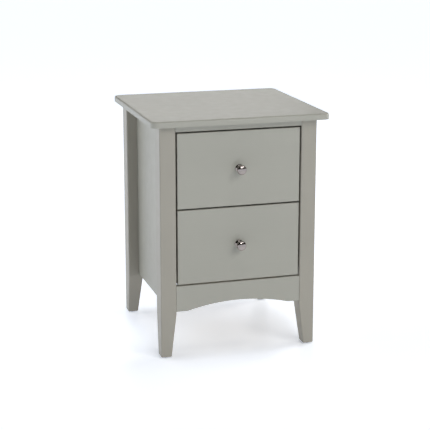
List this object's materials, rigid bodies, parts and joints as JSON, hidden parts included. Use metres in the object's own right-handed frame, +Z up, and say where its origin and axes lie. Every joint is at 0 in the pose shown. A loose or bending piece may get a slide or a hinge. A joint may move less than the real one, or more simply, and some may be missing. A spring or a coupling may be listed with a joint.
{
  "type": "nightstand with drawers",
  "caption": "Painted bedside cabinet with an overhanging top, tapered legs, recessed side panels, an arched apron and inset drawers on roller runners.",
  "frame": {"origin": "on the floor, in the middle of the cabinet's bounding box", "axes": "+Z up; +X to the right as seen from the front; the drawers open towards -Y"},
  "size_m": [0.45, 0.43, 0.6],
  "materials": {
    "painted_wood": "warm grey satin paint over fine-grained wood",
    "back_board": "thin board, grey painted face",
    "drawer_wood": "clear-lacquered pine",
    "drawer_base": "thin birch plywood",
    "dowel_wood": "plain beech",
    "screw_steel": "zinc-plated steel",
    "runner_steel": "white epoxy-coated folded steel",
    "roller_nylon": "natural nylon",
    "glide_plastic": "dark moulded plastic on a steel nail",
    "knob_metal": "polished chrome plate"
  },
  "bodies": {
    "carcass": {"back_panel": "back_board", "back_panel_screws": "screw_steel", "cabinet_roller_pins": "screw_steel", "cabinet_runner_screws": "screw_steel", "foot_glides": "glide_plastic", "front_apron": "painted_wood", "front_left_leg": "painted_wood", "front_right_leg": "painted_wood", "front_top_rail": "painted_wood", "left_side_panel": "painted_wood", "lower_left_cabinet_runner": "runner_steel", "lower_right_cabinet_runner": "runner_steel", "rail_dowels": "dowel_wood", "rear_bottom_rail": "painted_wood", "rear_left_leg": "painted_wood", "rear_right_leg": "painted_wood", "rear_top_rail": "painted_wood", "right_side_panel": "painted_wood", "top_panel": "painted_wood", "top_screws": "screw_steel", "upper_left_cabinet_runner": "runner_steel", "upper_right_cabinet_runner": "runner_steel"},
    "lower_drawer": {"lower_drawer_back": "drawer_wood", "lower_drawer_back_screws": "screw_steel", "lower_drawer_bottom": "drawer_base", "lower_drawer_bottom_screws": "screw_steel", "lower_drawer_dowels": "dowel_wood", "lower_drawer_front": "painted_wood", "lower_drawer_left_side": "drawer_wood", "lower_drawer_right_side": "drawer_wood", "lower_drawer_roller_pins": "screw_steel", "lower_drawer_runner_screws": "screw_steel", "lower_knob": "knob_metal", "lower_knob_screw": "screw_steel", "lower_left_drawer_runner": "runner_steel", "lower_right_drawer_runner": "runner_steel"},
    "upper_drawer": {"upper_drawer_back": "drawer_wood", "upper_drawer_back_screws": "screw_steel", "upper_drawer_bottom": "drawer_base", "upper_drawer_bottom_screws": "screw_steel", "upper_drawer_dowels": "dowel_wood", "upper_drawer_front": "painted_wood", "upper_drawer_left_side": "drawer_wood", "upper_drawer_right_side": "drawer_wood", "upper_drawer_roller_pins": "screw_steel", "upper_drawer_runner_screws": "screw_steel", "upper_knob": "knob_metal", "upper_knob_screw": "screw_steel", "upper_left_drawer_runner": "runner_steel", "upper_right_drawer_runner": "runner_steel"},
    "lower_left_cabinet_roller": {"lower_left_cabinet_roller": "roller_nylon"},
    "lower_left_drawer_roller": {"lower_left_drawer_roller": "roller_nylon"},
    "lower_right_cabinet_roller": {"lower_right_cabinet_roller": "roller_nylon"},
    "lower_right_drawer_roller": {"lower_right_drawer_roller": "roller_nylon"},
    "upper_left_cabinet_roller": {"upper_left_cabinet_roller": "roller_nylon"},
    "upper_left_drawer_roller": {"upper_left_drawer_roller": "roller_nylon"},
    "upper_right_cabinet_roller": {"upper_right_cabinet_roller": "roller_nylon"},
    "upper_right_drawer_roller": {"upper_right_drawer_roller": "roller_nylon"}
  },
  "joints": [
    {"name": "lower_drawer_slide", "type": "slide", "parent": "carcass", "child": "lower_drawer", "axis": [0, -1, 0], "range_m": [0, 0.265]},
    {"name": "upper_drawer_slide", "type": "slide", "parent": "carcass", "child": "upper_drawer", "axis": [0, -1, 0], "range_m": [0, 0.265]},
    {"name": "lower_left_cabinet_roller_spin", "type": "hinge", "parent": "carcass", "child": "lower_left_cabinet_roller", "pos_m": [-0.1534, -0.151, 0.2119], "axis": [1, 0, 0], "continuous": true},
    {"name": "lower_left_drawer_roller_spin", "type": "hinge", "parent": "lower_drawer", "child": "lower_left_drawer_roller", "pos_m": [-0.1534, 0.1725, 0.2116], "axis": [1, 0, 0], "continuous": true},
    {"name": "lower_right_cabinet_roller_spin", "type": "hinge", "parent": "carcass", "child": "lower_right_cabinet_roller", "pos_m": [0.1534, -0.151, 0.2119], "axis": [1, 0, 0], "continuous": true},
    {"name": "lower_right_drawer_roller_spin", "type": "hinge", "parent": "lower_drawer", "child": "lower_right_drawer_roller", "pos_m": [0.1534, 0.1725, 0.2116], "axis": [1, 0, 0], "continuous": true},
    {"name": "upper_left_cabinet_roller_spin", "type": "hinge", "parent": "carcass", "child": "upper_left_cabinet_roller", "pos_m": [-0.1534, -0.151, 0.4024], "axis": [1, 0, 0], "continuous": true},
    {"name": "upper_left_drawer_roller_spin", "type": "hinge", "parent": "upper_drawer", "child": "upper_left_drawer_roller", "pos_m": [-0.1534, 0.1725, 0.4021], "axis": [1, 0, 0], "continuous": true},
    {"name": "upper_right_cabinet_roller_spin", "type": "hinge", "parent": "carcass", "child": "upper_right_cabinet_roller", "pos_m": [0.1534, -0.151, 0.4024], "axis": [1, 0, 0], "continuous": true},
    {"name": "upper_right_drawer_roller_spin", "type": "hinge", "parent": "upper_drawer", "child": "upper_right_drawer_roller", "pos_m": [0.1534, 0.1725, 0.4021], "axis": [1, 0, 0], "continuous": true}
  ],
  "couplings": [
    {"joint": "lower_left_cabinet_roller_spin", "follows": "lower_drawer_slide", "rad_per_m": 133.33},
    {"joint": "lower_left_drawer_roller_spin", "follows": "lower_drawer_slide", "rad_per_m": 128.21},
    {"joint": "lower_right_cabinet_roller_spin", "follows": "lower_drawer_slide", "rad_per_m": 133.33},
    {"joint": "lower_right_drawer_roller_spin", "follows": "lower_drawer_slide", "rad_per_m": 128.21},
    {"joint": "upper_left_cabinet_roller_spin", "follows": "upper_drawer_slide", "rad_per_m": 133.33},
    {"joint": "upper_left_drawer_roller_spin", "follows": "upper_drawer_slide", "rad_per_m": 128.21},
    {"joint": "upper_right_cabinet_roller_spin", "follows": "upper_drawer_slide", "rad_per_m": 133.33},
    {"joint": "upper_right_drawer_roller_spin", "follows": "upper_drawer_slide", "rad_per_m": 128.21}
  ]
}
